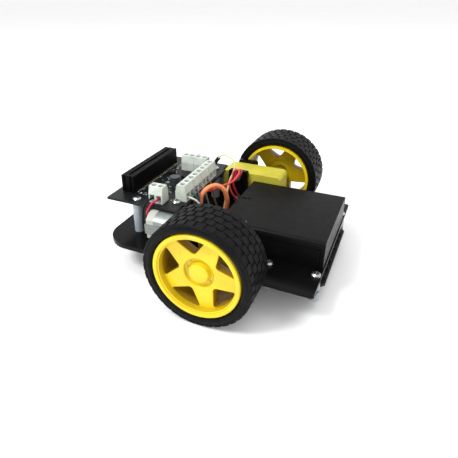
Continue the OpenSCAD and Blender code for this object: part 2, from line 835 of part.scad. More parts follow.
// Last stretch of a wire: along the sensor board and down onto it at y
function landing(y) = [[36, y, -17.4], [39.4, y, -17.3], [41.3, y, -18], [42, y, -19.2],
    [42, y, -20.22]];
right_red = [[-48.7, -35, 14.5], [-49.6, -39.2, 14.9], [-51, -42.4, 13.8], [-52.4, -44.3, 11],
    [-53.1, -45.2, 8.6], [-53.05, -44.8, 7], [-52.9, -43.11, 6.5]];
right_black = [[-53.7, -35, 14.5], [-54.3, -39.6, 14.8], [-55.2, -43.1, 13.4], [-55.9, -45.2, 9],
    [-56.2, -46, 3], [-55.6, -46.2, -3.4], [-54.2, -45.7, -6.2], [-53.2, -44.8, -6.6],
    [-52.9, -43.11, -6.5]];
left_red = [[-59.4, 25, 14.5], [-59.4, 29.5, 14.8], [-58.6, 35, 15.4], [-56.6, 40.4, 14.6],
    [-54.6, 43.8, 11.6], [-53.3, 45.2, 8.8], [-53.05, 44.8, 7], [-52.9, 43.11, 6.5]];
left_black = [[-54.6, 25, 14.5], [-55.6, 29.4, 15.4], [-57.8, 36, 17], [-58, 41.6, 16],
    [-57.2, 45.2, 11], [-56.6, 46.4, 3], [-55.6, 46.4, -3.4], [-54.2, 45.7, -6.2],
    [-53.2, 44.8, -6.6], [-52.9, 43.11, -6.5]];
box_red = [[-3.2, -9.95, -6.2], [-3.2, -4, -6.2], [-3.2, 6, -6.2], [-3.5, 13.6, -6.2],
    [-5.1, 17.2, -6.2], [-8.2, 18, -6.2], [-12, 17.6, -5.6], [-16, 16, -2], [-19, 13.6, 4],
    [-20.2, 13, 10.5], [-19.5, 16, 14.4], [-18.4, 17.2, 18.6], [-14.9, 16, 20.8],
    [-13.6, 14, 19], [-15.3, 11, 15.7], [-17.8, 8, 13.4], [-22.9, 5, 11.5], [-27, 4, 9],
    [-32, 2.6, 6.6], [-35.4, 2.2, 7.4], [-36, 2, 10.12]];
box_black = [[1.25, 22, -6.2], [-2.9, 22, -6.2], [-8.2, 22, -6.2], [-12, 22, -5.8],
    [-15, 21, -2.6], [-17.6, 18.6, 3], [-19.1, 17.6, 9], [-18.6, 19.2, 13.8],
    [-17.2, 20, 18], [-14, 18.8, 19.8], [-13, 16.6, 18.4], [-14.8, 13.4, 15.2],
    [-17.4, 10.6, 12.8], [-22.6, 7.8, 10.8], [-26.6, 7.4, 8.6], [-31.6, 6.8, 6.6],
    [-35.3, 6.6, 7.4], [-36, 6.5, 10.12]];
orange_route = [[-39.5, -14.5, 10.12], [-39.5, -14.5, 5], [-38.6, -14.5, 0],
    [-36.6, -14.4, -3.2], [-33.6, -14.2, -3.2], [-31.5, -14.2, 0.4], [-30.4, -14.2, 6],
    [-29.6, -13.1, 11.4], [-27.2, -9.2, 14.9], [-23.9, -4.4, 15.6], [-21.1, -1, 13.6],
    [-18.8, 1, 10], [-17.9, 3, 3.4], [-18.6, 4.7, -3], [-20.2, 5.2, -8],
    [-21.5, 5, -12.4], [-20.4, 4.7, -16.6], [-15.5, 4.2, -18.2],
    [-6, 3.4, -18.3], [8, 2, -18.3], [22, 1, -18.3], [40, 0.2, -18.35], [53.85, 0, -18.35]];
white_route = concat([[-35.5, -25, 14.5], [-31.8, -24.8, 14], [-28.5, -23, 11.5],
    [-25.8, -20, 5], [-24.8, -15, -4], [-25, -7, -9.4], [-26, -1.2, -10.4], [-26.2, 0.3, -13],
    [-25.3, -0.8, -15.4], [-20, -2.6, -17.2], [-5, -5, -17.4], [20, -9, -17.5]],
    landing(-10));
green_route = concat([[-35.5, -19.4, 14.5], [-31.2, -19.4, 13.4], [-29.2, -19.4, 8],
    [-28.6, -18, 0], [-27.9, -13, -8], [-27.4, -6, -10], [-27.6, -0.6, -10.2],
    [-27.9, 1.6, -13], [-27.6, -0.6, -15.6], [-23.5, -5.6, -17.3], [-5, -10.5, -17.4], [20, -18.6, -17.5]],
    landing(-20));
violet_route = concat([[-35.5, -13, 14.5], [-31.6, -14.6, 14], [-30.2, -16.4, 11.2],
    [-30.3, -17.1, 6.6], [-30.8, -16.9, 0], [-31, -15.4, -5.6], [-31, -11.5, -9.4], [-30.4, -3, -9.8],
    [-29.8, 3, -10.3], [-29, 5.2, -12.8], [-29, 7.8, -15.4], [-28, 12, -17],
    [-22, 19.5, -17.2], [-6, 24.2, -17.3], [20, 26.6, -17.5]], landing(27));
grey_route = concat([[-35.5, -7.4, 14.5], [-31.6, -6.9, 13.7], [-29.9, -6.2, 9.4],
    [-29.4, -4.8, 4], [-28.8, -1.6, -3], [-28.4, 3, -8], [-27.5, 5.8, -11], [-27.2, 6.8, -13],
    [-27.4, 9, -15.3], [-22.5, 14.6, -17.1], [-6, 19.4, -17.3], [20, 21.4, -17.5]],
    landing(22));
brown_route = concat([[-35.5, 4.6, 14.5], [-31.6, 4.6, 13.2], [-29.8, 4.8, 7],
    [-28, 5.4, -2], [-26.2, 7.2, -8.6], [-25.4, 8.1, -12.6], [-24.5, 9.9, -15.3],
    [-19, 12.8, -17.1], [-4, 15.4, -17.3], [20, 16.4, -17.6]], landing(17));
jumper_route = concat([[-33.15, 24, 24.2], [-31.6, 24, 26], [-28.6, 24, 27], [-24.4, 24, 25.8],
    [-21.4, 23.8, 23.3], [-20.2, 22.8, 19.8], [-20.8, 21, 15.2], [-21.8, 17.4, 10.6],
    [-22.4, 13.4, 2.4], [-22.8, 11, -5], [-23.2, 9.2, -10.6], [-23, 8.9, -13],
    [-21.2, 9.9, -15.4], [-15, 10.6, -17.2], [0, 11.4, -17.3], [20, 11.6, -17.6]], landing(12));
lead_d = 1.3;

module leads(routes, d = lead_d) {
    translate(axle) for (r = routes) tube(r, d);
}

module motor_leads() {
    color("crimson") leads([right_red, left_red]);
    color([0.1, 0.1, 0.1]) leads([right_black, left_black]);
}

module battery_leads() {
    color([0.85, 0.2, 0.2]) leads([box_red]);
    color([0.5, 0.1, 0.1]) leads([box_black]);
}

module orange_cable() {
    color([0.95, 0.4, 0.2]) leads([orange_route], 3.3);
}

module signal_wires() {
    color("white") leads([white_route]);
    color("green") leads([green_route]);
    color("purple") leads([violet_route]);
    color("gray") leads([grey_route]);
    color("sienna") leads([brown_route]);
}

module jumper_lead() {
    color([0.93, 0.92, 0.6]) leads([jumper_route]);
}

module jumper_plug() {
    color([0.05, 0.05, 0.05]) translate(axle + [-40.2, 24, board_top + 2.6])
        rotate([0, 35, 0]) block([-1.27, -1.27, 1.1], [1.27, 1.27, 11.9]);
}

// ======== assembly ========

chassis_deck();
motor_brackets();
motor_bolts();
motor_nuts();
gearbox_outer(1);  // left_gearbox_outer
gearbox_inner(1);  // left_gearbox_inner
output_shaft(1);  // left_output_shaft
idler_gear(1);  // left_idler_gear
crown_gear(1);  // left_crown_gear
motor_can(1);  // left_motor_can
motor_rotor(1);  // left_motor_rotor
motor_cap(1);  // left_motor_cap
rim(1);  // left_rim
tyre(1);  // left_tyre
gearbox_outer(-1);  // right_gearbox_outer
gearbox_inner(-1);  // right_gearbox_inner
output_shaft(-1);  // right_output_shaft
idler_gear(-1);  // right_idler_gear
crown_gear(-1);  // right_crown_gear
motor_can(-1);  // right_motor_can
motor_rotor(-1);  // right_motor_rotor
motor_cap(-1);  // right_motor_cap
rim(-1);  // right_rim
tyre(-1);  // right_tyre
gear_pins();
gearbox_screws();
motor_magnets();
motor_tabs();
motor_straps();
driver_board();
edge_connector();
edge_contacts();
power_terminals();
signal_terminals();
terminal_screws();
reservoir_capacitor();
board_parts();
board_spacers();
board_screws();
battery_case();
battery_lid();
battery_cells();
battery_contacts();
switch_body();
switch_slider();
case_screws();
sensor_board();
line_sensors();
sensor_bolts();
sensor_spacers();
standoff_nuts();
caster_housing();
caster_ball();
caster_screws();
motor_leads();
battery_leads();
orange_cable();
signal_wires();
jumper_lead();
jumper_plug();
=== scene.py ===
"""Looks, wires and small detail for the line follower robot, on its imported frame.

Lengths in this script are millimetres from the middle of the wheel axle, turned into
metres by spot(): +X is the battery and sensor end, +Y the left side, +Z up.
"""
import json
import math
import random

import bmesh
import bpy
from mathutils import Matrix, Vector


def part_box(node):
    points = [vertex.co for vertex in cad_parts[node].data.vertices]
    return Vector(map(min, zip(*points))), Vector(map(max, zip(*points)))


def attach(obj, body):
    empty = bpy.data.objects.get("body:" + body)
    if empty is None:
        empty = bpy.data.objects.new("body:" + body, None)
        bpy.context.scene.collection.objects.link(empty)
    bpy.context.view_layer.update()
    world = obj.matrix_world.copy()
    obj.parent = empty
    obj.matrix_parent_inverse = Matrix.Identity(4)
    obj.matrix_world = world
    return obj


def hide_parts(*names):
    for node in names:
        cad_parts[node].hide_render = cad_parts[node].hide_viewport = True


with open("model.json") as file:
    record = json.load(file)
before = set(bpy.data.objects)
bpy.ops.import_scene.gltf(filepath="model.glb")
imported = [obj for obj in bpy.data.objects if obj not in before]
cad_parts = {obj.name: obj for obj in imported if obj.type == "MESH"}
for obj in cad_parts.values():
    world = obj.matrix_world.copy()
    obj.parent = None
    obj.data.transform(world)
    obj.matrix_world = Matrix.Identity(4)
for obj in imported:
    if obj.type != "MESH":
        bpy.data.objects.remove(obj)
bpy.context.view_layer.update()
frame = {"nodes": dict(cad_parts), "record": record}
NODES = frame["nodes"]
SLOTS = {s["node"]: s["material_slot"] for s in frame["record"]["subparts"]}
MM = 0.001

tyre_low, tyre_high = (Vector(v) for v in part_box("left_tyre"))
AXLE = Vector(((tyre_low.x + tyre_high.x) / 2, 0, (tyre_low.z + tyre_high.z) / 2))
WHEEL_R = (tyre_high.z - tyre_low.z) / 2 / MM
WHEEL_IN = tyre_low.y / MM
TYRE_W = (tyre_high.y - tyre_low.y) / MM


def spot(x, y, z):
    """A place in millimetres from the axle, in metres in the model's frame."""
    return AXLE + Vector((x, y, z)) * MM


def box_mm(node):
    """Lowest and highest corner of a node, in millimetres from the axle."""
    low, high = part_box(node)
    return (Vector(low) - AXLE) / MM, (Vector(high) - AXLE) / MM


# ---------------------------------------------------------------- materials

def srgb(r, g, b):
    """Screen colour, 0 to 255, as a linear shader colour."""
    def linear(c):
        c /= 255
        return c / 12.92 if c <= 0.04045 else ((c + 0.055) / 1.055) ** 2.4
    return (linear(r), linear(g), linear(b), 1)


class Paint:
    """A procedural material: colour and gloss that vary, and a fine surface grain."""

    def __init__(self, name, colour, rough, metal=0.0):
        self.mat = bpy.data.materials.new(name)
        self.mat.use_nodes = True
        self.tree = self.mat.node_tree
        self.shader = self.tree.nodes["Principled BSDF"]
        self.coords = self.tree.nodes.new("ShaderNodeTexCoord").outputs["Object"]
        self.colour = colour
        self.rough = rough
        self.shader.inputs["Metallic"].default_value = metal
        self.shader.inputs["Base Color"].default_value = colour
        self.shader.inputs["Roughness"].default_value = rough

    def noise(self, scale, detail=3.0, stretch=(1, 1, 1)):
        """Noise over the piece, finer for a larger scale, as a socket."""
        mapping = self.tree.nodes.new("ShaderNodeMapping")
        mapping.inputs["Scale"].default_value = stretch
        self.tree.links.new(self.coords, mapping.inputs["Vector"])
        node = self.tree.nodes.new("ShaderNodeTexNoise")
        node.inputs["Scale"].default_value = scale
        node.inputs["Detail"].default_value = detail
        self.tree.links.new(mapping.outputs["Vector"], node.inputs["Vector"])
        return node.outputs["Fac"]

    def remap(self, value, low, high, start=0.3, end=0.7):
        """Stretches start..end of a value over low..high."""
        node = self.tree.nodes.new("ShaderNodeMapRange")
        node.inputs["From Min"].default_value = start
        node.inputs["From Max"].default_value = end
        node.inputs["To Min"].default_value = low
        node.inputs["To Max"].default_value = high
        self.tree.links.new(value, node.inputs["Value"])
        return node.outputs["Result"]

    def tint(self, factor, other, start=0.35, end=0.65):
        """Blends the base colour towards another where factor is high."""
        mix = self.tree.nodes.new("ShaderNodeMix")
        mix.data_type = "RGBA"
        self.tree.links.new(self.remap(factor, 0, 1, start, end), mix.inputs["Factor"])
        current = self.shader.inputs["Base Color"]
        if current.is_linked:
            self.tree.links.new(current.links[0].from_socket, mix.inputs["A"])
        else:
            mix.inputs["A"].default_value = self.colour
        mix.inputs["B"].default_value = other
        self.tree.links.new(mix.outputs["Result"], current)
        return self

    def gloss(self, factor, low, high):
        """Lets the roughness wander between low and high."""
        self.tree.links.new(self.remap(factor, low, high), self.shader.inputs["Roughness"])
        return self

    def grain(self, factor, strength, depth):
        """Fine surface relief, depth in metres."""
        bump = self.tree.nodes.new("ShaderNodeBump")
        bump.inputs["Strength"].default_value = strength
        bump.inputs["Distance"].default_value = depth
        self.tree.links.new(factor, bump.inputs["Height"])
        self.tree.links.new(bump.outputs["Normal"], self.shader.inputs["Normal"])
        return self

    def set(self, **sockets):
        """Sets shader sockets to constants; an underscore stands for a space."""
        for name, value in sockets.items():
            self.shader.inputs[name.replace("_", " ")].default_value = value
        return self


def scaled(colour, k):
    """A colour made k times as bright."""
    return (min(colour[0] * k, 1), min(colour[1] * k, 1), min(colour[2] * k, 1), 1)


def moulded(name, colour, rough, grain=0.25, scale=2600, blotch=90):
    """Moulded plastic: faint flow marks, uneven gloss and a fine skin."""
    paint = Paint(name, colour, rough)
    paint.tint(paint.noise(blotch), scaled(colour, 0.84))
    paint.gloss(paint.noise(blotch * 4), rough * 0.85, rough * 1.2)
    paint.grain(paint.noise(scale, 2), grain, 0.00005)
    return paint


def black(name, level, rough, grain, shine):
    """Black plastic: a deep body colour and a restrained surface sheen."""
    colour = (level, level, level * 1.05, 1)
    paint = moulded(name, colour, rough, grain, 2400, 50)
    return paint.set(Specular_IOR_Level=shine)


def metal(name, colour, rough, stretch=(1, 1, 12)):
    """Plated metal with fine draw marks."""
    paint = Paint(name, colour, rough, 1.0)
    paint.tint(paint.noise(300), scaled(colour, 0.8))
    paint.gloss(paint.noise(900, 4, stretch), rough * 0.7, rough * 1.5)
    paint.grain(paint.noise(1800, 2, stretch), 0.15, 0.00003)
    return paint


def rubber_paint():
    """Matt black rubber with dusty and darker patches."""
    paint = Paint("rubber", srgb(13, 14, 15), 0.42)
    paint.tint(paint.noise(160), srgb(20, 20, 22))
    paint.tint(paint.noise(700, 4), srgb(9, 9, 10), 0.5, 0.7)
    paint.gloss(paint.noise(260, 4), 0.34, 0.5)
    paint.grain(paint.noise(2200, 4), 0.3, 0.00008)
    return paint.set(Specular_IOR_Level=0.08)


def rim_yellow(name, colour, rough):
    """Smooth yellow moulding of the wheel rims, in its own colour or in a darker copy that is
    painted shade.
    """
    return moulded(name, (*colour, 1), rough, 0.12, 1500, 60)


def gearbox_paint():
    """Paler yellow plastic that lets a little light in."""
    paint = moulded("gearbox_yellow", srgb(196, 187, 62), 0.42, 0.3, 2000, 70)
    return paint.set(Subsurface_Weight=0.1, Subsurface_Scale=0.002)


def board_paint():
    """Dark solder mask with faint raised tracks."""
    paint = Paint("solder_mask", srgb(12, 14, 15), 0.34)
    tracks = paint.tree.nodes.new("ShaderNodeTexBrick")
    tracks.inputs["Scale"].default_value = 180
    tracks.inputs["Mortar Size"].default_value = 0.035
    paint.tree.links.new(paint.coords, tracks.inputs["Vector"])
    paint.tint(tracks.outputs["Fac"], srgb(30, 37, 35), 0.2, 0.8)
    paint.tint(paint.noise(900, 2), srgb(10, 12, 13), 0.45, 0.6)
    paint.gloss(paint.noise(400), 0.25, 0.45)
    paint.set(Specular_IOR_Level=0.2)
    return paint.grain(tracks.outputs["Fac"], 0.4, 0.00004)


def strap_paint():
    """Clear strap round the motor, greyed by what lies behind it."""
    paint = moulded("clear_strap", srgb(150, 158, 154), 0.3, 0.1)
    return paint.set(Transmission_Weight=0.35, IOR=1.46)


PAINTS = {
    "deck": lambda: black("acrylic_deck", 0.0035, 0.2, 0.05, 0.1),
    "bracket": lambda: black("acrylic_bracket", 0.0028, 0.22, 0.05, 0.12),
    "gearbox": gearbox_paint,
    "gear": lambda: moulded("nylon_gear", srgb(236, 233, 220), 0.35),
    "rim": lambda: rim_yellow("rim_yellow", (0.80, 0.60, 0.010), 0.3),
    # Two darker copies of the rim yellow: painted shade for the rim's walls and recessed faces,
    # which stand in for the shadow in the wheel's hollows.
    "rim_wall": lambda: rim_yellow("rim_wall", (0.60, 0.42, 0.006), 0.34),
    "rim_deep": lambda: rim_yellow("rim_amber", (0.34, 0.19, 0.004), 0.4),
    "tyre": rubber_paint,
    "steel": lambda: metal("plated_steel", srgb(196, 198, 198), 0.24),
    "can": lambda: metal("motor_can", srgb(148, 154, 154), 0.42, (14, 1, 1)),
    "magnet": lambda: moulded("ferrite", srgb(66, 66, 68), 0.6, 0.6),
    "rotor": lambda: metal("rotor_stack", srgb(170, 150, 130), 0.35, (30, 1, 1)),
    "cap": lambda: moulded("cap_white", srgb(176, 180, 168), 0.45),
    "brass": lambda: metal("tinned_brass", srgb(222, 196, 130), 0.28),
    "strap": strap_paint,
    "board": board_paint,
    "socket": lambda: black("socket_black", 0.0022, 0.42, 0.3, 0.05),
    "terminal": lambda: moulded("terminal_grey", srgb(200, 208, 199), 0.42, 0.3, 1800, 160),
    "capacitor": lambda: moulded("can_sleeve", srgb(52, 54, 58), 0.3, 0.1),
    "chips": lambda: black("chip_black", 0.006, 0.5, 0.5, 0.2),
    "nylon": lambda: moulded("nylon_pale", srgb(150, 160, 168), 0.3),
    "case": lambda: black("case_black", 0.0035, 0.36, 0.4, 0.09),
    "cell": lambda: metal("cell_wrap", srgb(120, 136, 150), 0.3),
    "knob": lambda: moulded("knob_white", srgb(226, 226, 220), 0.4),
    "lead_red": lambda: moulded("lead_crimson", srgb(190, 24, 66), 0.35, 0.1),
    "lead_power": lambda: moulded("lead_power", srgb(222, 66, 64), 0.35, 0.1),
    "cable_orange": lambda: moulded("cable_orange", srgb(246, 142, 86), 0.4, 0.3),
    "lead_yellow": lambda: moulded("lead_yellow", srgb(236, 232, 176), 0.35, 0.1),
    "lead_black": lambda: black("lead_black", 0.006, 0.35, 0.1, 0.2),
    "lead_dark_red": lambda: moulded("lead_dark_red", srgb(186, 46, 56), 0.35, 0.1),
    "lead_white": lambda: moulded("lead_white", srgb(236, 238, 232), 0.35, 0.1),
    "lead_green": lambda: moulded("lead_green", srgb(18, 96, 70), 0.35, 0.1),
    "lead_violet": lambda: moulded("lead_violet", srgb(94, 66, 110), 0.35, 0.1),
    "lead_grey": lambda: moulded("lead_grey", srgb(140, 144, 140), 0.35, 0.1),
    "lead_brown": lambda: moulded("lead_brown", srgb(124, 96, 60), 0.35, 0.1),
    "print": lambda: moulded("print_white", srgb(196, 204, 204), 0.5, 0.2),
}
made = {}


def paint(slot):
    """The material of a slot, made the first time that it is asked for."""
    if slot not in made:
        made[slot] = PAINTS[slot]().mat
    return made[slot]


# ---------------------------------------------------------------- building helpers

def link(name, mesh, slot, body, node=None, smooth=35):
    """Puts a mesh into the scene as a piece on a body; it may stand for a CAD node."""
    obj = bpy.data.objects.new(name, mesh)
    bpy.context.scene.collection.objects.link(obj)
    mesh.materials.clear()
    mesh.materials.append(paint(slot))
    for face in mesh.polygons:
        face.use_smooth = True
    mesh.set_sharp_from_angle(angle=math.radians(smooth))
    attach(obj, body)
    if node:
        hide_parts(node)
    return obj


def from_bmesh(bm, name):
    """Turns a finished bmesh into a mesh with its faces outwards."""
    bmesh.ops.recalc_face_normals(bm, faces=bm.faces)
    mesh = bpy.data.meshes.new(name)
    bm.to_mesh(mesh)
    bm.free()
    return mesh


def lathe(bm, profile, middle, side, steps):
    """Turns a closed profile of (radius, height) about the axle; height goes along side * Y."""
    out = Vector((0, side, 0))
    first = Vector((1, 0, 0))
    other = out.cross(first)
    rings = []
    for k in range(steps):
        turn = 2 * math.pi * k / steps
        ray = first * math.cos(turn) + other * math.sin(turn)
        rings.append([bm.verts.new(middle + (ray * r + out * h) * MM) for r, h in profile])
    count = len(profile)
    for k in range(steps):
        here, after = rings[k], rings[(k + 1) % steps]
        for i in range(count):
            j = (i + 1) % count
            if profile[i][0] == 0 and profile[j][0] == 0:
                continue
            bm.faces.new((here[i], here[j], after[j], after[i]))


def rounded(points, radii, steps=5):
    """Outline with each corner replaced by an arc of its radius."""
    result = []
    count = len(points)
    for i in range(count):
        corner = Vector(points[i])
        back = (Vector(points[i - 1]) - corner).normalized()
        on = (Vector(points[(i + 1) % count]) - corner).normalized()
        half = back.angle(on) / 2
        reach = radii[i] / math.tan(half)
        centre = corner + (back + on).normalized() * radii[i] / math.sin(half)
        a = corner + back * reach - centre
        b = corner + on * reach - centre
        sweep = a.angle_signed(b)
        for k in range(steps + 1):
            turn = Matrix.Rotation(-sweep * k / steps, 2)
            result.append(centre + turn @ a)
    return result


def circle(r, centre=(0, 0), steps=48):
    """Outline of a circle."""
    return [Vector((centre[0] + r * math.cos(2 * math.pi * k / steps),
                    centre[1] + r * math.sin(2 * math.pi * k / steps))) for k in range(steps)]


def plate(outlines, low, high, bevel, segments):
    """Flat plate with holes from outlines in its own XY, as a mesh, in millimetres."""
    data = bpy.data.curves.new("plate", "CURVE")
    data.dimensions = "2D"
    data.fill_mode = "BOTH"
    for outline in outlines:
        spline = data.splines.new("POLY")
        spline.points.add(len(outline) - 1)
        for point, place in zip(spline.points, outline):
            point.co = (place[0], place[1], 0, 1)
        spline.use_cyclic_u = True
    data.extrude = (high - low) / 2 - bevel
    data.bevel_depth = bevel
    data.bevel_resolution = segments - 1
    data.offset = -bevel
    helper = bpy.data.objects.new("plate", data)
    bpy.context.scene.collection.objects.link(helper)
    mesh = bpy.data.meshes.new_from_object(helper)
    bpy.data.objects.remove(helper)
    bpy.data.curves.remove(data)
    mesh.transform(Matrix.Translation((0, 0, (low + high) / 2)))
    return mesh


def add_plate(bm, outlines, low, high, place, bevel, segments=2):
    """Adds a plate, put in its place by a matrix."""
    mesh = plate(outlines, low, high, bevel, segments)
    mesh.transform(place)
    bm.from_mesh(mesh)
    bpy.data.meshes.remove(mesh)


def add_box(bm, low, high):
    """Box between two corners in millimetres from the axle."""
    low, high = Vector(low), Vector(high)
    made_box = bmesh.new()
    bmesh.ops.create_cube(made_box, size=1)
    bmesh.ops.scale(made_box, vec=high - low, verts=made_box.verts)
    bmesh.ops.translate(made_box, vec=(low + high) / 2, verts=made_box.verts)
    mesh = bpy.data.meshes.new("box")
    made_box.to_mesh(mesh)
    made_box.free()
    mesh.transform(Matrix.Translation(AXLE) @ Matrix.Scale(MM, 4))
    bm.from_mesh(mesh)
    bpy.data.meshes.remove(mesh)


def wheel_place(side):
    """Plate XY to the wheel's face, plate Z outwards from the inner face of the wheel."""
    turn = Matrix(((1, 0, 0), (0, 0, side), (0, 1, 0))).to_4x4()
    return Matrix.Translation(spot(0, side * WHEEL_IN, 0)) @ turn @ Matrix.Scale(MM, 4)


# ---------------------------------------------------------------- wheels

SPOKES = 5
SPOKE_TURN = 138.0       # angle of the first spoke, in degrees
WEB_TOP = 20.8           # faces of the spoked web, from the wheel's inner face
WEB_LOW = 14.2
WEB_R = 24.8
GAP_HALF = 25.5          # half the angle of a gap between spokes, in degrees
GAP_OUTER = 22.8
GAP_INNER = 11.3
HUB_HOLE_R = 9.1
PIP_REACH = 7.5          # circle of small pips round the cap
SPOKE_PIP_REACH = 15.2
STEEP = 0.6              # a face whose normal leans less than this on the axle is a wall
# Material places of the rim's two painted-shade copies of the yellow, for faces that lie in
# shadow.
DEEP_SHADE, WALL_SHADE = 1, 2        # places of the rim's two darker materials


def opening(index):
    """Outline of one gap between two spokes."""
    middle = math.radians(SPOKE_TURN + (index + 0.5) * 360 / SPOKES)
    half = math.radians(GAP_HALF)
    outer = [(GAP_OUTER * math.cos(a), GAP_OUTER * math.sin(a))
             for a in (half, half * 0.6, half * 0.2, -half * 0.2, -half * 0.6, -half)]
    points = [(GAP_INNER, 0), *reversed(outer)]
    radii = [2.2, 1.1, 3, 3, 3, 3, 1.1]
    turned = Matrix.Rotation(middle, 2)
    return [turned @ p for p in rounded(points, radii)]


def build_rim(side, name):
    """Rim with its barrel, spoked web, hub recess with a raised cap, and hub tube."""
    bm = bmesh.new()
    middle = spot(0, side * WHEEL_IN, 0)
    barrel = [(26, 0.0), (26, 24.6), (25.85, 25.4), (25.3, 25.9), (24.4, 26), (23.6, 25.7),
              (23.25, 25.0), (23.2, 24.5), (22.75, 24.3), (22.6, 23.8), (22.5, WEB_TOP - 0.2),
              (22.5, WEB_LOW + 1), (23.6, WEB_LOW - 1), (23.8, 0.4), (24.2, 0)]
    lathe(bm, barrel, middle, side, 120)
    place = wheel_place(side)
    web = [circle(WEB_R, steps=96), *(opening(i) for i in range(SPOKES)), circle(HUB_HOLE_R)]
    add_plate(bm, web, WEB_LOW, WEB_TOP, place, 0.55, 3)
    recess = [(r, WEB_TOP + h) for r, h in (
        (0, -5), (9.6, -5), (9.6, -1.4), (9.0, -2.2), (8.4, -2.5), (6.6, -2.6), (6.2, -2.1),
        (6.0, -0.3), (5.7, 0.4), (4.9, 0.75), (0, 0.9))]
    lathe(bm, recess, middle, side, 64)
    hub = [(2.9, -5), (4.7, -5), (5, -4.6), (5, WEB_TOP - 4), (2.9, WEB_TOP - 4)]
    lathe(bm, hub, middle, side, 48)
    for i in range(2 * SPOKES):
        turn = math.radians(SPOKE_TURN + i * 180 / SPOKES)
        pips = [(PIP_REACH, 0.6, -3.5, -2.0)]
        if i % 2 == 0:
            pips.append((SPOKE_PIP_REACH, 0.9, -0.5, 0.12))
        for reach, r, low, top in pips:
            centre = (reach * math.cos(turn), reach * math.sin(turn))
            add_plate(bm, [circle(r, centre, 16)], WEB_TOP + low, WEB_TOP + top, place, 0.1)
    rim = link(name + "_detail", from_bmesh(bm, name), "rim", name.replace("rim", "wheel"), name)
    # The two darker yellows are painted shade for the hollows of the wheel.
    rim.data.materials.append(paint("rim_deep"))
    rim.data.materials.append(paint("rim_wall"))
    # Painted shade: the gap walls, the back of the web and the barrel's inner wall take the
    # darker yellows in place of the shadow that falls there.
    for face in rim.data.polygons:
        place = (Vector(face.center) - middle) / MM
        depth = place.y * side
        reach = math.hypot(place.x, place.z)
        steep = abs(face.normal.y) < STEEP
        gap_wall = steep and depth < WEB_TOP - 1 and 9.5 < reach < 23.3
        if gap_wall or (depth < WEB_LOW + 0.2 and reach < 24):
            face.material_index = DEEP_SHADE if steep else WALL_SHADE
        elif steep and depth < 24.6 and 10 < reach < 23.6:
            face.material_index = WALL_SHADE


TREAD_ROWS = 5
TREAD_COUNT = 36         # blocks round one row
TREAD_DEPTH = 0.7
SHOULDER_DROOP = 0.15    # how far the outer rows fall away at the tyre's edge


def build_tyre(side, name):
    """Tyre body with ribbed shoulders, and staggered rows of tread blocks on it."""
    bm = bmesh.new()
    half = TYRE_W / 2
    middle = spot(0, side * (WHEEL_IN + half), 0)
    base = WHEEL_R - TREAD_DEPTH
    edge = [(base - fall, half - inset) for fall, inset in (
        (0, 0.7), (0.3, 0.3), (0.9, 0.25), (1.4, 0.5), (1.9, 0.3), (2.5, 0.05), (3.2, 0),
        (4.2, 0.25), (4.9, 0.8), (5.6, 2.2))]
    section = edge + [(r, -h) for r, h in reversed(edge)]
    lathe(bm, section, middle, side, 180)
    pitch = 2 * math.pi / TREAD_COUNT
    row_w = (TYRE_W - 0.5) / TREAD_ROWS
    for row in range(TREAD_ROWS):
        centre = (row - (TREAD_ROWS - 1) / 2) * row_w
        outer = row in (0, TREAD_ROWS - 1)
        for k in range(TREAD_COUNT):
            start = (k + 0.5 * (row % 2)) * pitch
            add_block(bm, middle, side, start, pitch * 0.8, centre, row_w * 0.44, base,
                      SHOULDER_DROOP if outer else 0)
    link(name + "_detail", from_bmesh(bm, name), "tyre",
         name.replace("tyre", "wheel"), name, 22)


def add_block(bm, middle, side, start, span, centre, half_w, base, droop):
    """One raised tread block with rounded corners and sloping sides."""
    corners = ((0.07, -1), (0.93, -1), (1, -0.85), (1, 0.85), (0.93, 1), (0.07, 1),
               (0, 0.85), (0, -0.85))
    layers = []
    for r, shrink in ((base - 0.5, 0.0), (WHEEL_R - 0.2, 0.08), (WHEEL_R - 0.05, 0.25)):
        ring = []
        for a, h in corners:
            angle = start + span * a + shrink * (0.5 - a) * 2 / WHEEL_R
            height = centre + h * (half_w - shrink)
            drop = droop * max(0, (abs(height) - abs(centre)) / half_w)
            reach = r - drop
            place = Vector((reach * math.cos(angle), side * height, reach * math.sin(angle)))
            ring.append(bm.verts.new(middle + place * MM))
        layers.append(ring)
    count = len(corners)
    for low, high in zip(layers, layers[1:]):
        for i in range(count):
            j = (i + 1) % count
            bm.faces.new((low[i], low[j], high[j], high[i]))
    for ring in (layers[0], layers[-1]):
        for quad in ((7, 0, 5, 6), (0, 1, 4, 5), (1, 2, 3, 4)):
            bm.faces.new([ring[k] for k in quad])


for wheel_side, word in ((1, "left"), (-1, "right")):
    build_rim(wheel_side, word + "_rim")
    build_tyre(wheel_side, word + "_tyre")


# ---------------------------------------------------------------- wires

WIRE_R = 0.65
ORANGE_R = 1.7
RIB_DEPTH = 0.14
RIB_PITCH = 0.9


def landing(y):
    """Last stretch of a wire: along the sensor board and down onto it at y."""
    return [(36, y, -17.4), (39.4, y, -17.3), (41.3, y, -18), (42, y, -19.2), (42, y, -20.22)]


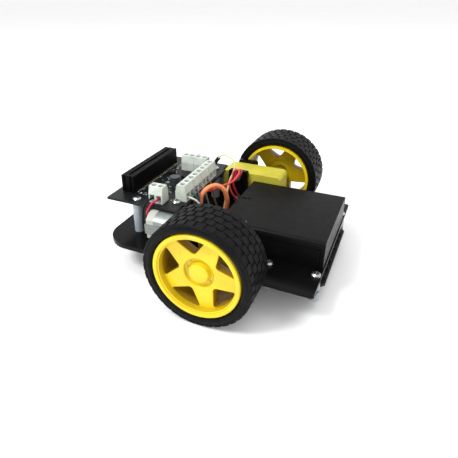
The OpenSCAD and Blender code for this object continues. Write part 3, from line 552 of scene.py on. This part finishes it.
RIGHT_RED = [(-48.7, -35, 14.5), (-49.6, -39.2, 14.9), (-51, -42.4, 13.8), (-52.4, -44.3, 11),
             (-53.1, -45.2, 8.6), (-53.05, -44.8, 7), (-52.9, -43.11, 6.5)]
RIGHT_BLACK = [(-53.7, -35, 14.5), (-54.3, -39.6, 14.8), (-55.2, -43.1, 13.4),
               (-55.9, -45.2, 9), (-56.2, -46, 3), (-55.6, -46.2, -3.4), (-54.2, -45.7, -6.2),
               (-53.2, -44.8, -6.6), (-52.9, -43.11, -6.5)]
LEFT_RED = [(-59.4, 25, 14.5), (-59.4, 29.5, 14.8), (-58.6, 35, 15.4), (-56.6, 40.4, 14.6),
            (-54.6, 43.8, 11.6), (-53.3, 45.2, 8.8), (-53.05, 44.8, 7), (-52.9, 43.11, 6.5)]
LEFT_BLACK = [(-54.6, 25, 14.5), (-55.6, 29.4, 15.4), (-57.8, 36, 17), (-58, 41.6, 16),
              (-57.2, 45.2, 11), (-56.6, 46.4, 3), (-55.6, 46.4, -3.4), (-54.2, 45.7, -6.2),
              (-53.2, 44.8, -6.6), (-52.9, 43.11, -6.5)]
BOX_RED = [(-3.2, -9.95, -6.2), (-3.2, -4, -6.2), (-3.2, 6, -6.2), (-3.5, 13.6, -6.2),
           (-5.1, 17.2, -6.2), (-8.2, 18, -6.2), (-12, 17.6, -5.6), (-16, 16, -2),
           (-19, 13.6, 4), (-20.2, 13, 10.5), (-19.5, 16, 14.4), (-18.4, 17.2, 18.6),
           (-14.9, 16, 20.8), (-13.6, 14, 19), (-15.3, 11, 15.7), (-17.8, 8, 13.4),
           (-22.9, 5, 11.5), (-27, 4, 9), (-32, 2.6, 6.6), (-35.4, 2.2, 7.4), (-36, 2, 10.12)]
BOX_BLACK = [(1.25, 22, -6.2), (-2.9, 22, -6.2), (-8.2, 22, -6.2), (-12, 22, -5.8),
             (-15, 21, -2.6), (-17.6, 18.6, 3), (-19.1, 17.6, 9), (-18.6, 19.2, 13.8),
             (-17.2, 20, 18), (-14, 18.8, 19.8), (-13, 16.6, 18.4), (-14.8, 13.4, 15.2),
             (-17.4, 10.6, 12.8), (-22.6, 7.8, 10.8), (-26.6, 7.4, 8.6), (-31.6, 6.8, 6.6),
             (-35.3, 6.6, 7.4), (-36, 6.5, 10.12)]
ORANGE = [(-39.5, -14.5, 10.12), (-39.5, -14.5, 5), (-38.6, -14.5, 0), (-36.6, -14.4, -3.2),
          (-33.6, -14.2, -3.2), (-31.5, -14.2, 0.4), (-30.4, -14.2, 6), (-29.6, -13.1, 11.4),
          (-27.2, -9.2, 14.9), (-23.9, -4.4, 15.6), (-21.1, -1, 13.6), (-18.8, 1, 10),
          (-17.9, 3, 3.4), (-18.6, 4.7, -3), (-20.2, 5.2, -8), (-21.5, 5, -12.4),
          (-20.4, 4.7, -16.6), (-15.5, 4.2, -18.2), (-6, 3.4, -18.3), (8, 2, -18.3),
          (22, 1, -18.3), (40, 0.2, -18.35), (53.85, 0, -18.35)]
WHITE = [(-35.5, -25, 14.5), (-31.8, -24.8, 14), (-28.5, -23, 11.5), (-25.8, -20, 5),
         (-24.8, -15, -4), (-25, -7, -9.4), (-26, -1.2, -10.4), (-26.2, 0.3, -13),
         (-25.3, -0.8, -15.4), (-20, -2.6, -17.2), (-5, -5, -17.4), (20, -9, -17.5),
         *landing(-10)]
GREEN = [(-35.5, -19.4, 14.5), (-31.2, -19.4, 13.4), (-29.2, -19.4, 8), (-28.6, -18, 0),
         (-27.9, -13, -8), (-27.4, -6, -10), (-27.6, -0.6, -10.2), (-27.9, 1.6, -13),
         (-27.6, -0.6, -15.6), (-23.5, -5.6, -17.3), (-5, -10.5, -17.4), (20, -18.6, -17.5),
         *landing(-20)]
VIOLET = [(-35.5, -13, 14.5), (-31.6, -14.6, 14), (-30.2, -16.4, 11.2), (-30.3, -17.1, 6.6),
          (-30.8, -16.9, 0), (-31, -15.4, -5.6), (-31, -11.5, -9.4), (-30.4, -3, -9.8),
          (-29.8, 3, -10.3), (-29, 5.2, -12.8), (-29, 7.8, -15.4), (-28, 12, -17),
          (-22, 19.5, -17.2), (-6, 24.2, -17.3), (20, 26.6, -17.5), *landing(27)]
GREY = [(-35.5, -7.4, 14.5), (-31.6, -6.9, 13.7), (-29.9, -6.2, 9.4), (-29.4, -4.8, 4),
        (-28.8, -1.6, -3), (-28.4, 3, -8), (-27.5, 5.8, -11), (-27.2, 6.8, -13),
        (-27.4, 9, -15.3), (-22.5, 14.6, -17.1), (-6, 19.4, -17.3), (20, 21.4, -17.5),
        *landing(22)]
BROWN = [(-35.5, 4.6, 14.5), (-31.6, 4.6, 13.2), (-29.8, 4.8, 7), (-28, 5.4, -2),
         (-26.2, 7.2, -8.6), (-25.4, 8.1, -12.6), (-24.5, 9.9, -15.3), (-19, 12.8, -17.1),
         (-4, 15.4, -17.3), (20, 16.4, -17.6), *landing(17)]
JUMPER = [(-33.15, 24, 24.2), (-31.6, 24, 26), (-28.6, 24, 27), (-24.4, 24, 25.8),
          (-21.4, 23.8, 23.3), (-20.2, 22.8, 19.8), (-20.8, 21, 15.2), (-21.8, 17.4, 10.6),
          (-22.4, 13.4, 2.4), (-22.8, 11, -5), (-23.2, 9.2, -10.6), (-23, 8.9, -13),
          (-21.2, 9.9, -15.4), (-15, 10.6, -17.2), (0, 11.4, -17.3), (20, 11.6, -17.6),
          *landing(12)]


def smooth_path(points, steps):
    """The same spline through the points as the model's, drawn finer."""
    points = [Vector(p) for p in points]
    last = len(points) - 1
    path = []
    for i in range(last):
        a, b = points[max(i - 1, 0)], points[i]
        c, d = points[i + 1], points[min(i + 2, last)]
        for k in range(steps):
            u = k / steps
            path.append(0.5 * (2 * b + (c - a) * u + (2 * a - 5 * b + 4 * c - d) * u ** 2
                               + (3 * b - a - 3 * c + d) * u ** 3))
    return path + [points[last]]


def tube(bm, path, radius, sides=14, rib=0.0, rib_pitch=RIB_PITCH):
    """Round wire along a path, with rings of ribs where rib is set."""
    normal = None
    rings = []
    travelled = 0.0
    for i, place in enumerate(path):
        ahead = path[min(i + 1, len(path) - 1)] - path[max(i - 1, 0)]
        ahead.normalize()
        if normal is None:
            normal = ahead.orthogonal().normalized()
        normal = (normal - ahead * normal.dot(ahead)).normalized()
        across = ahead.cross(normal)
        if i:
            travelled += (place - path[i - 1]).length
        r = radius - rib * (0.5 - 0.5 * math.cos(2 * math.pi * travelled / rib_pitch))
        ring = []
        for k in range(sides):
            turn = 2 * math.pi * k / sides
            ray = normal * math.cos(turn) + across * math.sin(turn)
            ring.append(bm.verts.new(AXLE + (place + ray * r) * MM))
        rings.append(ring)
    for here, after in zip(rings, rings[1:]):
        for k in range(sides):
            bm.faces.new((here[k], here[(k + 1) % sides], after[(k + 1) % sides], after[k]))
    bm.faces.new(rings[0])
    bm.faces.new(rings[-1])


def wire(name, route, slot, node):
    """One thin wire, fixed to the chassis at both ends."""
    bm = bmesh.new()
    tube(bm, smooth_path(route, 8), WIRE_R)
    link(name, from_bmesh(bm, name), slot, "chassis", node, 60)


wire("right_lead_red", RIGHT_RED, "lead_red", "motor_leads")
wire("right_lead_black", RIGHT_BLACK, "lead_black", "motor_leads")
wire("left_lead_red", LEFT_RED, "lead_red", "motor_leads")
wire("left_lead_black", LEFT_BLACK, "lead_black", "motor_leads")
wire("box_lead_red", BOX_RED, "lead_power", "battery_leads")
wire("box_lead_dark", BOX_BLACK, "lead_dark_red", "battery_leads")
wire("signal_white", WHITE, "lead_white", "signal_wires")
wire("signal_green", GREEN, "lead_green", "signal_wires")
wire("signal_violet", VIOLET, "lead_violet", "signal_wires")
wire("signal_grey", GREY, "lead_grey", "signal_wires")
wire("signal_brown", BROWN, "lead_brown", "signal_wires")
wire("jumper_wire", JUMPER, "lead_yellow", "jumper_lead")

ribbed = bmesh.new()
tube(ribbed, smooth_path(ORANGE, 32), ORANGE_R, 18, RIB_DEPTH)
link("orange_cable_ribbed", from_bmesh(ribbed, "orange_cable_ribbed"), "cable_orange",
     "chassis", "orange_cable", 60)


# ---------------------------------------------------------------- driver board detail

PRINT_SEED = 7
PRINT_MARKS = 150
SINK = 0.05              # how far marks and pads are let into the board
PADS = 22
PAD = 0.9
PAD_PITCH = 2.6


def build_print():
    """Pale print marks and solder pads, spread over the free parts of the board."""
    rng = random.Random(PRINT_SEED)
    board_low, board_high = box_mm("driver_board")
    bm = bmesh.new()
    top = board_high.z
    for _ in range(PRINT_MARKS):
        x = rng.uniform(board_low.x + 16, board_high.x - 6)
        y = rng.uniform(-30, 30)
        w = rng.choice((0.5, 0.8, 1.6, 2.4))
        d = rng.choice((0.25, 0.4, 0.9))
        if rng.random() < 0.5:
            w, d = d, w
        add_box(bm, (x, y, top - SINK), (x + w, y + d, top + 0.06))
    for x in (board_low.x + 14.6, board_low.x + 2.2):
        for k in range(PADS):
            y = -27.3 + PAD_PITCH * k
            add_box(bm, (x, y, top - SINK), (x + PAD, y + PAD, top + 0.08))
    link("board_print", from_bmesh(bm, "board_print"), "print", "chassis")


build_print()


# ---------------------------------------------------------------- carried-over nodes

# Width of the softened edges of a CAD node, in millimetres.
BEVELS = {
    "chassis_deck": 0.35, "motor_brackets": 0.3,
    "left_gearbox_outer": 0.5, "left_gearbox_inner": 0.5, "right_gearbox_outer": 0.5,
    "right_gearbox_inner": 0.5, "left_motor_can": 0.4, "right_motor_can": 0.4,
    "left_motor_cap": 0.5, "right_motor_cap": 0.5, "edge_connector": 0.35,
    "power_terminals": 0.35, "signal_terminals": 0.35,
    "battery_case": 0.5, "battery_lid": 0.6, "driver_board": 0.12, "sensor_board": 0.12,
    "board_parts": 0.12, "switch_body": 0.2, "switch_slider": 0.2, "jumper_plug": 0.25,
    "line_sensors": 0.2, "reservoir_capacitor": 0.4, "board_spacers": 0.15,
    "sensor_spacers": 0.15, "caster_housing": 0.3, "motor_straps": 0.1, "motor_nuts": 0.12,
}
REPLACED = {"left_rim", "right_rim", "left_tyre", "right_tyre", "motor_leads", "battery_leads",
            "orange_cable", "signal_wires", "jumper_lead"}
for node, obj in NODES.items():
    if node in REPLACED:
        continue
    if not obj.material_slots:
        obj.data.materials.append(None)
    for slot in obj.material_slots:
        slot.link = "OBJECT"
        slot.material = paint(SLOTS[node])
    if node in BEVELS:
        edge = obj.modifiers.new("soft_edges", "BEVEL")
        edge.width = BEVELS[node] * MM
        edge.segments = 2
        edge.limit_method = "ANGLE"
        edge.angle_limit = math.radians(40)


# ---------------------------------------------------------------- stage, light and camera

def build_floor():
    """Plain pale floor, wide enough to reach past every view."""
    bm = bmesh.new()
    bmesh.ops.create_grid(bm, x_segments=2, y_segments=2, size=14)
    mesh = bpy.data.meshes.new("floor")
    bm.to_mesh(mesh)
    bm.free()
    floor = bpy.data.objects.new("floor", mesh)
    bpy.context.scene.collection.objects.link(floor)
    pale = Paint("floor_pale", srgb(250, 250, 250), 0.7)
    pale.tint(pale.noise(4), srgb(248, 248, 248))
    mesh.materials.append(pale.mat)


def area_light(name, place, target, size, power):
    """Soft light at place, in metres, turned to face target."""
    data = bpy.data.lights.new(name, "AREA")
    data.shape = "RECTANGLE"
    data.size, data.size_y = size
    data.energy = power
    lamp = bpy.data.objects.new(name, data)
    bpy.context.scene.collection.objects.link(lamp)
    lamp.location = place
    lamp.rotation_euler = (Vector(target) - Vector(place)).to_track_quat("-Z", "Y").to_euler()


CAMERA_PLACE = (85.92, -248.08, 140.82)
CAMERA_YAW = -0.4405     # angles in radians
CAMERA_PITCH = -0.4850
CAMERA_ROLL = -0.0114
CAMERA_LENS = 34.07
CAMERA_SHIFT = (0.0452, -0.0503)
LOOK_AT = (0, 0, 0.03)


def build_camera():
    """Camera at the angle that the object is seen from."""
    forward = Vector((math.sin(CAMERA_YAW) * math.cos(CAMERA_PITCH),
                      math.cos(CAMERA_YAW) * math.cos(CAMERA_PITCH), math.sin(CAMERA_PITCH)))
    level = Vector((math.cos(CAMERA_YAW), -math.sin(CAMERA_YAW), 0))
    lift = level.cross(forward)
    c, s = math.cos(CAMERA_ROLL), math.sin(CAMERA_ROLL)
    right = level * c + lift * s
    up = lift * c - level * s
    data = bpy.data.cameras.new("camera")
    data.lens = CAMERA_LENS
    data.sensor_width = 36
    data.shift_x, data.shift_y = CAMERA_SHIFT
    data.clip_start = 0.01
    camera = bpy.data.objects.new("camera", data)
    bpy.context.scene.collection.objects.link(camera)
    turn = Matrix((right, up, -forward)).transposed().to_4x4()
    camera.matrix_world = Matrix.Translation(spot(*CAMERA_PLACE)) @ turn
    bpy.context.scene.camera = camera


build_floor()
bpy.context.scene.view_settings.view_transform = "Standard"
world = bpy.data.worlds.new("studio")
world.use_nodes = True
world.node_tree.nodes["Background"].inputs["Color"].default_value = (1, 1, 1, 1)
world.node_tree.nodes["Background"].inputs["Strength"].default_value = 0.98
bpy.context.scene.world = world
area_light("key", (-0.42, -0.55, 0.92), LOOK_AT, (0.3, 0.3), 8)
area_light("top", (0.1, 0.3, 1.1), LOOK_AT, (0.9, 0.7), 3)
area_light("front", (0.6, -0.8, 0.4), (0.03, 0, 0.03), (0.5, 0.4), 1)
build_camera()
